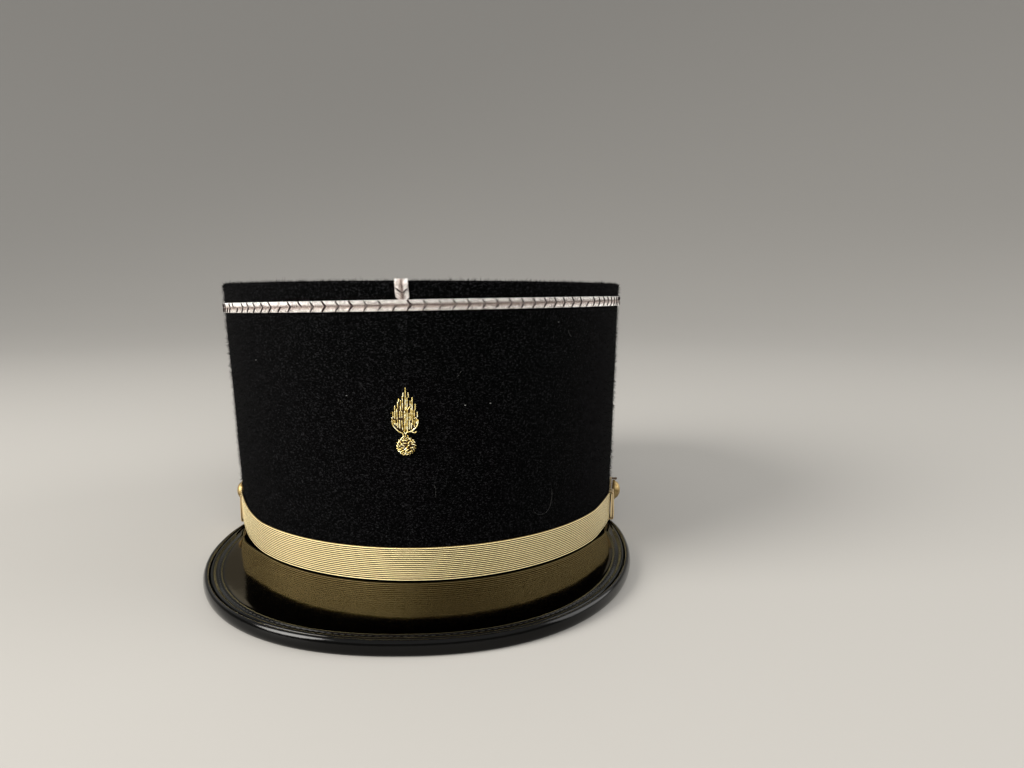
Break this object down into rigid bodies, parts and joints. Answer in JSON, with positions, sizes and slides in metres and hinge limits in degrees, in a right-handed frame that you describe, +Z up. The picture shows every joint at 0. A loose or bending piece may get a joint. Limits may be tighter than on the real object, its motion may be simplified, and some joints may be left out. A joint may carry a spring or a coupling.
{
  "type": "kepi cap",
  "caption": "Stiff black wool kepi with a sunk oval top, silver braid, gold lace strap, front badge and flat patent-leather peak.",
  "frame": {"origin": "on the table, under the middle of the bounding box", "axes": "+Z up as the cap rests on its foot, -Y the way the peak points, +X towards the wearer's left"},
  "size_m": [0.1763, 0.2527, 0.114],
  "materials": {
    "wool": "napped black wool cloth, matt",
    "silver_braid": "flat silver thread braid, satin",
    "gold_lace": "ribbed gold thread lace, bright",
    "gilt_metal": "polished gilt",
    "patent_leather": "black patent, mirror gloss",
    "gold_bullion": "coiled gold bullion thread"
  },
  "bodies": {
    "root": {"crown_wall": "wool", "crown_top": "wool", "top_braid": "silver_braid", "front_braid": "silver_braid", "chin_strap": "gold_lace", "strap_keeper_left": "gold_lace", "strap_keeper_right": "gold_lace", "button_tab_left": "gold_lace", "button_tab_right": "gold_lace", "side_button_left": "gilt_metal", "side_button_right": "gilt_metal", "peak": "patent_leather", "peak_binding": "patent_leather", "badge_flame": "gold_bullion", "badge_ball": "gold_bullion"}
  },
  "joints": []
}
